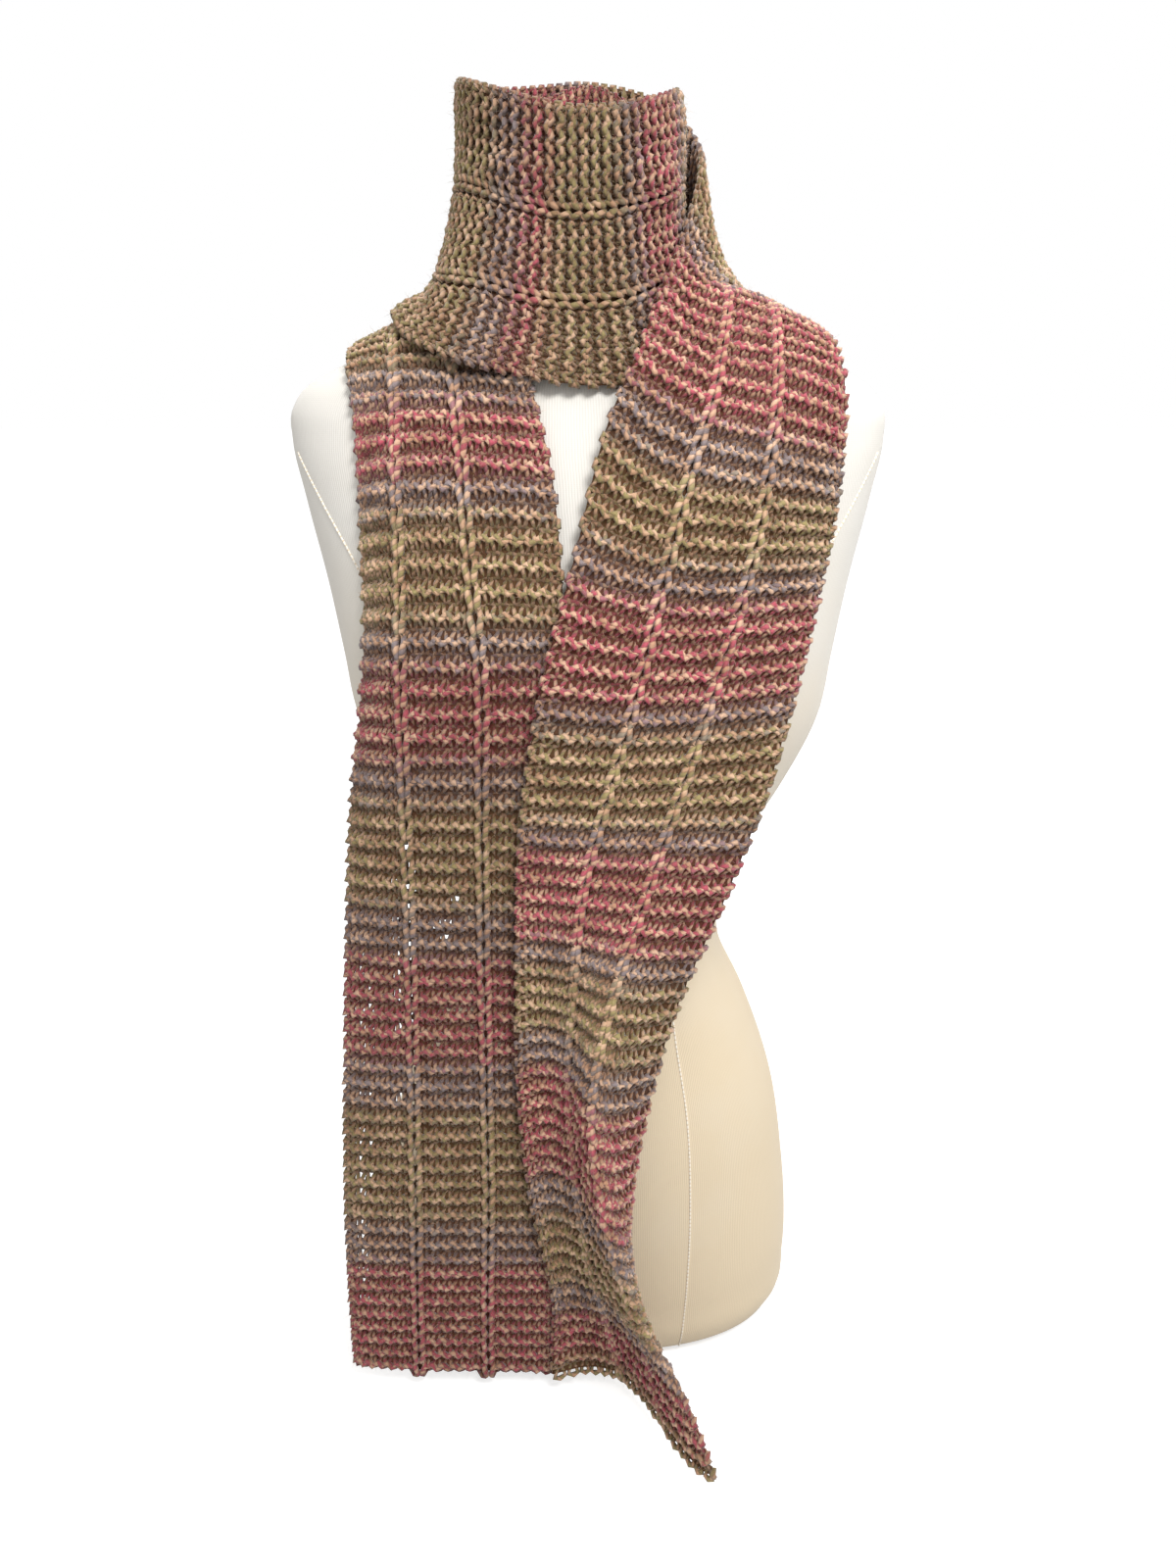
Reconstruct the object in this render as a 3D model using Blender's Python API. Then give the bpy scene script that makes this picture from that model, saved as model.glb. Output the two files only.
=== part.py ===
"""Knit scarf wound once round the neck of a limbless dress form.

The scarf is one long strip, knitted in garter stitch with two ribs that stand at a third and at
two thirds of its width. It climbs the left of the chest, passes behind the neck, crosses the
front as a collar, passes behind the neck again and hangs down the right of the chest, where its
outer two thirds fold forward at the hem. The form stands on its flat base at z = 0 and faces -Y.
"""

import bpy
import numpy as np

MM = 0.001

CLOTH_THICKNESS = 4.0 * MM
SEAM_GAP = 0.3 * MM
REST_GAP = 2.2 * MM
CELLS_ACROSS = 12
CELL_LENGTH = 14.0 * MM

# The dress form, in millimetres: height, half width, reach to the front, reach to the back.
FORM_SECTIONS = (
    (0, 130, 76, 80),
    (4, 139, 86, 90),
    (14, 147, 93, 97),
    (45, 151, 98, 101),
    (90, 150, 100, 103),
    (126, 146, 100, 103),
    (195, 134, 97, 100),
    (252, 114, 88, 88),
    (300, 93, 77, 74),
    (330, 91, 75, 71),
    (370, 102, 81, 76),
    (420, 131, 96, 83),
    (470, 153, 110, 89),
    (510, 159, 114, 92),
    (552, 166, 109, 94),
    (608, 178, 97, 93),
    (640, 184, 86, 88),
    (658, 183, 79, 82),
    (672, 172, 73, 77),
    (684, 149, 67, 71),
    (700, 115, 60, 63),
    (712, 89, 56, 57),
    (724, 66, 54, 54),
    (738, 54, 54, 54),
    (760, 50, 55, 55),
    (784, 50, 55, 55),
    (790, 46, 51, 51),
)
FORM_SQUARENESS = 2.4
NECK_ROOT = 724.0
NECK_LEAN = 0.30
NECK_SIDESTEP = -4.0
FORM_SIDES = 64
FORM_LIFT = 11.0

# The scarf, in millimetres. Each row crosses the strip, and gives its lower or outer edge, its
# two ribs and its upper or inner edge as x, y, z.
LEFT_TAIL = (
    ((-163, -112, 15), (-119, -115, 13), (-69, -115, 12), (-23, -113, 8)),
    ((-163, -113, 70), (-118, -115, 70), (-68, -115, 70), (-22, -114, 68)),
    ((-161, -111, 165), (-115, -115, 165), (-65, -115, 165), (-20, -113, 165)),
    ((-155, -109, 265), (-112, -115, 265), (-64, -115, 265), (-19, -113, 265)),
    ((-149, -104, 360), (-110, -114, 360), (-63, -117, 360), (-16, -115, 360)),
    ((-142, -95, 445), (-109, -111, 447), (-61, -118, 449), (-14, -118, 450)),
    ((-134, -84, 508), (-109, -105, 512), (-60, -116, 514), (-13, -118, 514)),
    ((-131, -81, 565), (-108, -96, 570), (-65, -108, 572), (-15, -112, 570)),
    ((-131, -76, 618), (-109, -87, 624), (-69, -96, 625), (-20, -100, 622)),
    ((-133, -63, 655), (-110, -72, 660), (-73, -81, 660), (-28, -85, 656)),
)
LEFT_SHOULDER = (
    ((-139, -38, 682), (-112, -48, 689), (-77, -60, 691), (-38, -70, 692)),
    ((-143, -10, 691), (-112, -20, 704), (-80, -32, 714), (-50, -52, 724)),
    ((-139, 18, 689), (-102, 10, 710), (-72, -4, 728), (-56, -24, 764)),
    ((-120, 46, 690), (-84, 38, 714), (-60, 24, 748), (-53, 4, 798)),
)
NECK_BACK_INNER = (
    ((-86, 63, 691), (-53, 45, 727), (-44, 30, 774), (-40, 14, 821)),
    ((-46, 68, 697), (-29, 55, 742), (-23, 44, 789), (-21, 31, 837)),
    ((-4, 67, 703), (-4, 56, 749), (-4, 47, 797), (-4, 38, 844)),
    ((38, 67, 700), (21, 55, 745), (15, 44, 792), (13, 32, 840)),
    ((76, 57, 697), (46, 44, 733), (36, 30, 778), (32, 14, 826)),
)
NECK_FRONT = (
    ((90, 6, 715), (60, 2, 742), (53, -12, 784), (50, -20, 829)),
    ((72, -61, 686), (44, -48, 727), (37, -56, 772), (34, -66, 816)),
    ((34, -75, 673), (23, -66, 717), (18, -70, 764), (16, -80, 810)),
    ((-4, -81, 671), (-4, -72, 714), (-4, -75, 761), (-4, -84, 808)),
    ((-40, -84, 677), (-30, -74, 716), (-25, -73, 763), (-24, -82, 811)),
    ((-74, -82, 685), (-59, -67, 725), (-50, -61, 772), (-48, -70, 819)),
    ((-103, -59, 698), (-81, -49, 729), (-68, -42, 780), (-67, -48, 828)),
)
NECK_BACK_OUTER = (
    ((-115, -15, 709), (-88, -14, 734), (-75, -14, 783), (-73, -18, 834)),
    ((-115, 31, 707), (-84, 27, 736), (-71, 20, 786), (-68, 12, 838)),
    ((-92, 67, 702), (-63, 57, 739), (-52, 48, 790), (-49, 38, 843)),
    ((-48, 77, 705), (-34, 68, 749), (-28, 60, 797), (-26, 50, 847)),
    ((-4, 79, 706), (-4, 68, 752), (-4, 60, 800), (-4, 52, 849)),
    ((44, 77, 704), (28, 68, 749), (22, 58, 797), (20, 47, 845)),
    ((86, 68, 700), (60, 59, 738), (49, 46, 786), (45, 32, 834)),
)
RIGHT_SHOULDER = (
    ((116, 50, 700), (85, 44, 723), (68, 28, 760), (64, 11, 811)),
    ((135, 18, 699), (102, 14, 719), (79, 1, 744), (66, -9, 790)),
    ((141, -14, 696), (106, -17, 714), (78, -26, 726), (56, -36, 757)),
    ((144, -45, 681), (107, -51, 696), (76, -56, 702), (43, -62, 726)),
)
RIGHT_TAIL = (
    ((145, -64, 646), (105, -72, 658), (70, -80, 668), (28, -86, 690)),
    ((144, -74, 607), (99, -86, 613), (55, -95, 621), (10, -98, 648)),
    ((137, -80, 562), (90, -100, 562), (41, -109, 565), (-7, -114, 582)),
    ((125, -92, 507), (73, -113, 505), (27, -121, 506), (-25, -127, 514)),
    ((108, -111, 449), (56, -120, 449), (12, -124, 449), (-36, -127, 453)),
    ((84, -117, 378), (35, -131, 384), (-3, -128, 387), (-42, -126, 390)),
    ((56, -119, 304), (14, -145, 316), (-8, -130, 320), (-44, -125, 322)),
)
RIGHT_HEM = (
    ((38, -125, 236), (3, -156, 251), (-11, -131, 262), (-44, -125, 262)),
    ((28, -130, 174), (9, -161, 191), (-9, -131, 205), (-41, -125, 205)),
    ((27, -134, 126), (19, -164, 143), (-4, -131, 156), (-36, -124, 155)),
    ((36, -148, 90), (29, -163, 104), (2, -130, 113), (-28, -123, 112)),
    ((58, -180, 64), (38, -156, 73), (11, -126, 78), (-23, -121, 76)),
    ((71, -196, 40), (45, -158, 42), (17, -122, 46), (-24, -120, 45)),
    ((80, -207, 17), (52, -164, 15), (25, -122, 14), (-25, -120, 11)),
)
# The strip lies on the form up to the first of these rows, over its own first turn between the
# second and the third, and on the form again from the fourth.
SECOND_TURN_ROWS = (22, 25, 36, 39)
STRETCHES = {
    "left_tail": LEFT_TAIL,
    "left_shoulder": LEFT_SHOULDER,
    "neck_back_inner": NECK_BACK_INNER,
    "neck_front": NECK_FRONT,
    "neck_back_outer": NECK_BACK_OUTER,
    "right_shoulder": RIGHT_SHOULDER,
    "right_tail": RIGHT_TAIL,
    "right_hem": RIGHT_HEM,
}

COLOURS = {
    "dress_form": (0.86, 0.80, 0.68, 1.0),
    "left_tail": (0.36, 0.21, 0.13, 1.0),
    "left_shoulder": (0.33, 0.24, 0.13, 1.0),
    "neck_back_inner": (0.42, 0.20, 0.19, 1.0),
    "neck_front": (0.35, 0.25, 0.13, 1.0),
    "neck_back_outer": (0.34, 0.27, 0.22, 1.0),
    "right_shoulder": (0.44, 0.22, 0.19, 1.0),
    "right_tail": (0.40, 0.24, 0.15, 1.0),
    "right_hem": (0.38, 0.22, 0.14, 1.0),
}


def clear_scene():
    """Remove every object that the scene starts with."""
    for item in list(bpy.data.objects):
        bpy.data.objects.remove(item, do_unlink=True)


def hermite(knots, values, at):
    """Values on the cubic through the knots, with the slope at each knot taken from the parabola
    through it and its two neighbours."""
    step = np.diff(knots)
    shape = (-1,) + (1,) * (values.ndim - 1)
    chord = np.diff(values, axis=0) / step.reshape(shape)
    before, after = step[:-1].reshape(shape), step[1:].reshape(shape)
    inner = (chord[:-1] * after + chord[1:] * before) / (before + after)
    slope = np.concatenate([2 * chord[:1] - inner[:1], inner, 2 * chord[-1:] - inner[-1:]])
    span = np.clip(np.searchsorted(knots, at, side="right") - 1, 0, len(step) - 1)
    width = step[span].reshape(shape)
    t = ((at - knots[span]) / step[span]).reshape(shape)
    return (
        values[span] * (1 + 2 * t) * (1 - t) ** 2
        + slope[span] * width * t * (1 - t) ** 2
        + values[span + 1] * t * t * (3 - 2 * t)
        - slope[span + 1] * width * t * t * (1 - t)
    )


def form_sizes(height):
    """Half width, front reach, back reach, and the section's middle in x and y, at a height."""
    table = np.array(FORM_SECTIONS, float)
    clamped = np.clip(height, table[0, 0], table[-1, 0])
    sizes = hermite(table[:, 0], table[:, 1:], clamped)
    up_neck = np.clip((height - NECK_ROOT + 20) / 40, 0, 1)
    middle_x = NECK_SIDESTEP * up_neck * up_neck * (3 - 2 * up_neck)
    middle_y = -NECK_LEAN * np.maximum(height - NECK_ROOT, 0)
    return sizes[..., 0], sizes[..., 1], sizes[..., 2], middle_x, middle_y


def form_level(points):
    """1 on the form's skin and more outside it: the superellipse of the section at that height."""
    half, front, back, middle_x, middle_y = form_sizes(points[:, 2])
    x, y = points[:, 0] - middle_x, points[:, 1] - middle_y
    reach = np.where(y < 0, front, back)
    power = FORM_SQUARENESS
    return (np.abs(x / half) ** power + np.abs(y / reach) ** power) ** (1 / power)


def form_distance(points):
    """About how far each point is outside the form, and the way straight out."""
    level = form_level(points)
    small = 0.5
    slopes = [
        (form_level(points + small * axis) - form_level(points - small * axis)) / (2 * small)
        for axis in np.eye(3)
    ]
    slope = np.stack(slopes, axis=1)
    steep = np.linalg.norm(slope, axis=1)
    return (level - 1) / steep, slope / steep[:, None]


def laid_on_form(points, clearance):
    """Points nearer to the form than the clearance, moved straight out to it."""
    for _ in range(4):
        distance, out = form_distance(points)
        short = np.maximum(clearance - distance, 0)
        short = np.where(points[:, 2] < FORM_SECTIONS[-1][0], short, 0)
        points = points + short[:, None] * out
    return points


def scarf_knots():
    """How far along the strip each row lies, and the rows' points, in millimetres."""
    rows = np.array([row for stretch in STRETCHES.values() for row in stretch], float)
    steps = np.linalg.norm(np.diff(rows, axis=0), axis=2).mean(axis=1)
    return np.concatenate([[0], np.cumsum(steps)]), rows


def scarf_points(along, across):
    """The strip's middle surface on a grid: smooth through the rows along it, and the cubic
    through each row's four points across it. It is held off the form by half the cloth, and by
    one cloth more where it passes over its own first turn."""
    knots, rows = scarf_knots()
    columns = hermite(knots, rows, along)
    thirds = np.array([0, 1, 2, 3]) / 3
    weights = np.stack(
        [
            np.prod([(across - b) / (a - b) for b in thirds if b != a], axis=0)
            for a in thirds
        ],
        axis=1,
    )
    grid = np.einsum("uk,skc->suc", weights, columns)
    on_form = CLOTH_THICKNESS / 2 + REST_GAP
    over_cloth = on_form + CLOTH_THICKNESS + REST_GAP
    height = np.interp(along, knots[list(SECOND_TURN_ROWS)],
                       [on_form, over_cloth, over_cloth, on_form])
    clearance = np.repeat(height / MM, len(across))
    return laid_on_form(grid.reshape(-1, 3), clearance).reshape(grid.shape)


def scarf_frame(along, across):
    """The strip's middle surface with, at each of its points, the unit directions along the
    strip and out of its outer face."""
    step = 0.5
    points = scarf_points(along, across)
    forward = scarf_points(along + step, across) - scarf_points(along - step, across)
    narrow = step / 100
    sideways = scarf_points(along, across + narrow) - scarf_points(along, across - narrow)
    outward = np.cross(sideways, forward)
    forward /= np.linalg.norm(forward, axis=2, keepdims=True)
    outward /= np.linalg.norm(outward, axis=2, keepdims=True)
    return points, forward, outward


def stretch_ends():
    """Where each stretch starts and ends along the strip, halfway between its end rows and its
    neighbours' rows."""
    knots, _ = scarf_knots()
    counts = np.cumsum([len(rows) for rows in STRETCHES.values()])
    cuts = [(knots[count - 1] + knots[count]) / 2 for count in counts[:-1]]
    return list(zip(STRETCHES, [knots[0]] + cuts, cuts + [knots[-1]]))


def material(name, colour, roughness):
    """A Principled material of one colour."""
    made = bpy.data.materials.new(name)
    made.use_nodes = True
    shader = made.node_tree.nodes["Principled BSDF"]
    shader.inputs["Base Color"].default_value = colour
    shader.inputs["Roughness"].default_value = roughness
    shader.inputs["Metallic"].default_value = 0.0
    made.diffuse_color = colour
    return made


def add_object(name, points, faces, collection, roughness):
    """A named mesh object with its own material."""
    mesh = bpy.data.meshes.new(name)
    mesh.from_pydata(points.tolist(), [], faces)
    mesh.update()
    mesh.shade_smooth()
    mesh.materials.append(material(name, COLOURS[name], roughness))
    made = bpy.data.objects.new(name, mesh)
    collection.objects.link(made)
    return made


def grid_faces(rows, columns, closed):
    """Quads between the points of a grid, joined round into a tube if it is closed."""
    ring = columns if closed else columns - 1
    return [
        (r * columns + c, r * columns + (c + 1) % columns,
         (r + 1) * columns + (c + 1) % columns, (r + 1) * columns + c)
        for r in range(rows - 1)
        for c in range(ring)
    ]


def make_dress_form(collection):
    """The form: a loft up its sections, closed by its flat base and the neck's cap."""
    table = np.array(FORM_SECTIONS, float)
    heights = [table[0, 0]]
    for low, high in zip(table[:-1, 0], table[1:, 0]):
        count = max(1, round((high - low) / FORM_LIFT / 2))
        heights.extend(np.linspace(low, high, count + 1)[1:])
    heights = np.array(heights)
    half, front, back, middle_x, middle_y = form_sizes(heights)
    turn = np.linspace(0, 2 * np.pi, FORM_SIDES, endpoint=False)
    cosine, sine = np.cos(turn), np.sin(turn)
    power = 2 / FORM_SQUARENESS
    x = half[:, None] * np.sign(cosine) * np.abs(cosine) ** power
    reach = np.where(sine < 0, front[:, None], back[:, None])
    y = reach * np.sign(sine) * np.abs(sine) ** power
    points = np.stack(
        [x + middle_x[:, None], y + middle_y[:, None], np.broadcast_to(heights[:, None], x.shape)],
        axis=2,
    ).reshape(-1, 3) * MM
    faces = grid_faces(len(heights), FORM_SIDES, closed=True)
    last = (len(heights) - 1) * FORM_SIDES
    faces.append(tuple(range(FORM_SIDES))[::-1])
    faces.append(tuple(range(last, last + FORM_SIDES)))
    return add_object("dress_form", points, faces, collection, roughness=0.9)


def make_stretch(name, start, end, first, last, collection):
    """One stretch of the scarf: a loft of the strip's changing section, with both faces half a
    thickness from the middle surface. Its ends stand back from the cut by half of the gap."""
    trim = SEAM_GAP / MM / 2
    rows = max(2, round((end - start) * MM / CELL_LENGTH)) + 1
    along = np.linspace(start, end, rows)
    across = np.linspace(0, 1, CELLS_ACROSS + 1)
    points, forward, outward = scarf_frame(along, across)
    points[0] += forward[0] * (0 if first else trim)
    points[-1] -= forward[-1] * (0 if last else trim)
    half = CLOTH_THICKNESS / MM / 2
    section = np.concatenate([points + half * outward, (points - half * outward)[:, ::-1]], axis=1)
    ring = section.shape[1]
    faces = grid_faces(rows, ring, closed=True)
    for r, turned in ((0, True), (rows - 1, False)):
        for c in range(CELLS_ACROSS):
            corners = (r * ring + c, r * ring + c + 1,
                       r * ring + ring - 2 - c, r * ring + ring - 1 - c)
            faces.append((corners[0], *corners[:0:-1]) if turned else corners)
    return add_object(name, section.reshape(-1, 3) * MM, faces, collection, roughness=0.95)


def main():
    """Build the form and the scarf's stretches in one collection."""
    clear_scene()
    collection = bpy.data.collections.new("knit_scarf_on_dress_form")
    bpy.context.scene.collection.children.link(collection)
    make_dress_form(collection)
    ends = stretch_ends()
    for index, (name, start, end) in enumerate(ends):
        make_stretch(name, start, end, index == 0, index == len(ends) - 1, collection)


main()
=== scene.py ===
"""Looks for a hand-knitted scarf wound round the neck of a limbless dress form.

The scarf is one strip. A point on it has a distance along the strip and a share of the width,
both of which run as the knitter worked: rows across, one after the other up the strip. Every
stretch has a thin backing cloth, folded like garter stitch, and one continuous yarn that loops
to and fro through it. All lengths in the tables are in millimetres.
"""

import math

import bpy
import numpy as np
from bpy.props import FloatProperty, FloatVectorProperty, IntProperty, PointerProperty
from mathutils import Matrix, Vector


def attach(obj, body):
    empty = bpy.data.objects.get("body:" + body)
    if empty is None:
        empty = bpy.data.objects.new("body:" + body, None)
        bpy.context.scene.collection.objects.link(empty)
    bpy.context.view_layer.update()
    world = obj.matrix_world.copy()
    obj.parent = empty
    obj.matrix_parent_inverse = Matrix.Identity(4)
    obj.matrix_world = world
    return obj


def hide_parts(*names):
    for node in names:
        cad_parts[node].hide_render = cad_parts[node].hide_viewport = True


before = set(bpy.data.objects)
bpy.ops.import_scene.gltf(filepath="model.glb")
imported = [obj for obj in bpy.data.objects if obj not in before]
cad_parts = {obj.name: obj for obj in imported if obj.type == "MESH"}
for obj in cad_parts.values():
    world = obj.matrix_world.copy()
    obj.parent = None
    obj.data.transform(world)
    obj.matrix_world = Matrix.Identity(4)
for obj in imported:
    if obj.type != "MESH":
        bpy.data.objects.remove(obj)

bl_info = {
    "name": "Knitted scarf on a dress form",
    "version": (1, 0, 0),
    "blender": (4, 5, 0),
    "location": "View3D > Sidebar > Scarf",
    "description": "Knits a wound scarf loop by loop over a jersey-covered dress form",
    "category": "Object",
}

MM = 0.001

CLOTH_THICKNESS = 4.0 * MM
REST_GAP = 2.2 * MM

# The dress form, in millimetres: height, half width, reach to the front, reach to the back.
FORM_SECTIONS = (
    (0, 130, 76, 80), (4, 139, 86, 90), (14, 147, 93, 97), (45, 151, 98, 101),
    (90, 150, 100, 103), (126, 146, 100, 103), (195, 134, 97, 100), (252, 114, 88, 88),
    (300, 93, 77, 74), (330, 91, 75, 71), (370, 102, 81, 76), (420, 131, 96, 83),
    (470, 153, 110, 89), (510, 159, 114, 92), (552, 166, 109, 94), (608, 178, 97, 93),
    (640, 184, 86, 88), (658, 183, 79, 82), (672, 172, 73, 77), (684, 149, 67, 71),
    (700, 115, 60, 63), (712, 89, 56, 57), (724, 66, 54, 54), (738, 54, 54, 54),
    (760, 50, 55, 55), (784, 50, 55, 55), (790, 46, 51, 51),
)
FORM_SQUARENESS = 2.4
NECK_ROOT = 724.0
NECK_LEAN = 0.30
NECK_SIDESTEP = -4.0

# The scarf, in millimetres. Each row crosses the strip, and gives its lower or outer edge, its
# two ribs and its upper or inner edge as x, y, z.
LEFT_TAIL = (
    ((-163, -112, 15), (-119, -115, 13), (-69, -115, 12), (-23, -113, 8)),
    ((-163, -113, 70), (-118, -115, 70), (-68, -115, 70), (-22, -114, 68)),
    ((-161, -111, 165), (-115, -115, 165), (-65, -115, 165), (-20, -113, 165)),
    ((-155, -109, 265), (-112, -115, 265), (-64, -115, 265), (-19, -113, 265)),
    ((-149, -104, 360), (-110, -114, 360), (-63, -117, 360), (-16, -115, 360)),
    ((-142, -95, 445), (-109, -111, 447), (-61, -118, 449), (-14, -118, 450)),
    ((-134, -84, 508), (-109, -105, 512), (-60, -116, 514), (-13, -118, 514)),
    ((-131, -81, 565), (-108, -96, 570), (-65, -108, 572), (-15, -112, 570)),
    ((-131, -76, 618), (-109, -87, 624), (-69, -96, 625), (-20, -100, 622)),
    ((-133, -63, 655), (-110, -72, 660), (-73, -81, 660), (-28, -85, 656)),
)
LEFT_SHOULDER = (
    ((-139, -38, 682), (-112, -48, 689), (-77, -60, 691), (-38, -70, 692)),
    ((-143, -10, 691), (-112, -20, 704), (-80, -32, 714), (-50, -52, 724)),
    ((-139, 18, 689), (-102, 10, 710), (-72, -4, 728), (-56, -24, 764)),
    ((-120, 46, 690), (-84, 38, 714), (-60, 24, 748), (-53, 4, 798)),
)
NECK_BACK_INNER = (
    ((-86, 63, 691), (-53, 45, 727), (-44, 30, 774), (-40, 14, 821)),
    ((-46, 68, 697), (-29, 55, 742), (-23, 44, 789), (-21, 31, 837)),
    ((-4, 67, 703), (-4, 56, 749), (-4, 47, 797), (-4, 38, 844)),
    ((38, 67, 700), (21, 55, 745), (15, 44, 792), (13, 32, 840)),
    ((76, 57, 697), (46, 44, 733), (36, 30, 778), (32, 14, 826)),
)
NECK_FRONT = (
    ((90, 6, 715), (60, 2, 742), (53, -12, 784), (50, -20, 829)),
    ((72, -61, 686), (44, -48, 727), (37, -56, 772), (34, -66, 816)),
    ((34, -75, 673), (23, -66, 717), (18, -70, 764), (16, -80, 810)),
    ((-4, -81, 671), (-4, -72, 714), (-4, -75, 761), (-4, -84, 808)),
    ((-40, -84, 677), (-30, -74, 716), (-25, -73, 763), (-24, -82, 811)),
    ((-74, -82, 685), (-59, -67, 725), (-50, -61, 772), (-48, -70, 819)),
    ((-103, -59, 698), (-81, -49, 729), (-68, -42, 780), (-67, -48, 828)),
)
NECK_BACK_OUTER = (
    ((-115, -15, 709), (-88, -14, 734), (-75, -14, 783), (-73, -18, 834)),
    ((-115, 31, 707), (-84, 27, 736), (-71, 20, 786), (-68, 12, 838)),
    ((-92, 67, 702), (-63, 57, 739), (-52, 48, 790), (-49, 38, 843)),
    ((-48, 77, 705), (-34, 68, 749), (-28, 60, 797), (-26, 50, 847)),
    ((-4, 79, 706), (-4, 68, 752), (-4, 60, 800), (-4, 52, 849)),
    ((44, 77, 704), (28, 68, 749), (22, 58, 797), (20, 47, 845)),
    ((86, 68, 700), (60, 59, 738), (49, 46, 786), (45, 32, 834)),
)
RIGHT_SHOULDER = (
    ((116, 50, 700), (85, 44, 723), (68, 28, 760), (64, 11, 811)),
    ((135, 18, 699), (102, 14, 719), (79, 1, 744), (66, -9, 790)),
    ((141, -14, 696), (106, -17, 714), (78, -26, 726), (56, -36, 757)),
    ((144, -45, 681), (107, -51, 696), (76, -56, 702), (43, -62, 726)),
)
RIGHT_TAIL = (
    ((145, -64, 646), (105, -72, 658), (70, -80, 668), (28, -86, 690)),
    ((144, -74, 607), (99, -86, 613), (55, -95, 621), (10, -98, 648)),
    ((137, -80, 562), (90, -100, 562), (41, -109, 565), (-7, -114, 582)),
    ((125, -92, 507), (73, -113, 505), (27, -121, 506), (-25, -127, 514)),
    ((108, -111, 449), (56, -120, 449), (12, -124, 449), (-36, -127, 453)),
    ((84, -117, 378), (35, -131, 384), (-3, -128, 387), (-42, -126, 390)),
    ((56, -119, 304), (14, -145, 316), (-8, -130, 320), (-44, -125, 322)),
)
RIGHT_HEM = (
    ((38, -125, 236), (3, -156, 251), (-11, -131, 262), (-44, -125, 262)),
    ((28, -130, 174), (9, -161, 191), (-9, -131, 205), (-41, -125, 205)),
    ((27, -134, 126), (19, -164, 143), (-4, -131, 156), (-36, -124, 155)),
    ((36, -148, 90), (29, -163, 104), (2, -130, 113), (-28, -123, 112)),
    ((58, -180, 64), (38, -156, 73), (11, -126, 78), (-23, -121, 76)),
    ((71, -196, 40), (45, -158, 42), (17, -122, 46), (-24, -120, 45)),
    ((80, -207, 17), (52, -164, 15), (25, -122, 14), (-25, -120, 11)),
)
# The strip lies on the form up to the first of these rows, over its own first turn between the
# second and the third, and on the form again from the fourth.
SECOND_TURN_ROWS = (22, 25, 36, 39)
STRETCHES = {
    "left_tail": LEFT_TAIL,
    "left_shoulder": LEFT_SHOULDER,
    "neck_back_inner": NECK_BACK_INNER,
    "neck_front": NECK_FRONT,
    "neck_back_outer": NECK_BACK_OUTER,
    "right_shoulder": RIGHT_SHOULDER,
    "right_tail": RIGHT_TAIL,
    "right_hem": RIGHT_HEM,
}

# The chart: stitches in each panel, with a slipped rib between the panels.
PANELS = (6, 5, 6)
PANEL_STITCH = 7.4
RIB_STITCH = 9.3
PANEL_POINTS = 8
RIB_POINTS = 12

# How far a stitch strays sideways, how much the yarn's thickness varies, and how thin it is in a
# rib's float. The backing cloth's wall. Half of a colour band's blend into the next.
PLACE_SPREAD = 1.6
THICKNESS_SPREAD = 0.07
FLOAT_THICKNESS = 0.8
BACKING_THICKNESS = 0.8 * MM
BAND_BLEND = 8

# The shortest and longest stray fibre, and how strongly one leans outward.
FIBRE_LENGTHS = (3.5, 8.0)
FIBRE_LEAN = 0.9

# How far painted shade takes deep yarn, and the backing cloth, toward the dark fibre colour.
YARN_PAINTED_SHADE = 0.93
BACKING_PAINTED_SHADE = 0.9

# The loops: how flat and how much thicker a crest is, how far a rib's V and its float stand out,
# how much thicker its legs are, how far back the cloth lies behind it, and the yarn's two points
# at each edge turn: sideways, along as a share of the row, and outward. Edge loops are calmer.
CREST_POWER = 0.5
CREST_SWELL = 0.2
RIB_RISE = 0.8
RIB_DROP = 0.12
RIB_FLOAT = -1.9
RIB_SWELL = 0.25
RIB_BACK = -0.9
EDGE_TURN = np.array([0.5, 0.6])
EDGE_RISE = np.array([-0.2, 0.25])
EDGE_HEIGHT = np.array([0.9, 0.0])
EDGE_CALM = 0.6

# Rows this long are open, and from the first to the second length their loops grow wider by a
# share of the stitch and their yarn fuller. Loops overlap less on the back than on the front.
OPEN_ROWS = (4.2, 6.4)
OPEN_WIDTH = 0.06
OPEN_SWELL = 0.12
BACK_OVERLAP = 0.35

# Distance along the strip and how light the yarn is there: partly the yarn's dye and partly painted
# shade on lengths that lie in less light.
YARN_DYE_AND_PAINTED_SHADE = (
    (0, 0.62), (90, 0.68), (200, 0.72), (300, 0.66), (400, 0.74), (440, 0.68), (490, 0.76),
    (530, 1.0), (640, 1.0), (1000, 0.78), (1080, 0.74), (1450, 0.8), (1560, 1.0), (2050, 0.98),
    (2200, 0.85), (2310, 0.8),
)

# Where the backing cloth is open because the knitting is loose: from and to along the strip,
# from and to across it, and the share of open cells.
LOOSE_PATCHES = (
    (130, 400, 0.24, 0.36, 0.30), (180, 390, 0.42, 0.58, 0.14), (100, 330, 0.02, 0.12, 0.22),
    (60, 180, 0.00, 0.06, 0.55), (240, 330, 0.62, 0.74, 0.12), (1640, 1760, 0.01, 0.07, 0.35),
    (1080, 1110, 0.80, 0.98, 0.25),
)

# Distance along the strip, and there the length of one ridge, which is two rows.
RIDGE_LENGTHS = (
    (0, 10.8), (60, 11.5), (150, 12.3), (350, 12.7), (450, 13.4), (560, 14.4), (620, 13.4),
    (690, 11.5), (760, 9.4), (830, 8.2), (1000, 7.6), (1470, 7.6), (1540, 9.0), (1621, 11.5),
    (1700, 13.0), (1900, 13.4), (2100, 12.7), (2310, 11.6),
)

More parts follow.
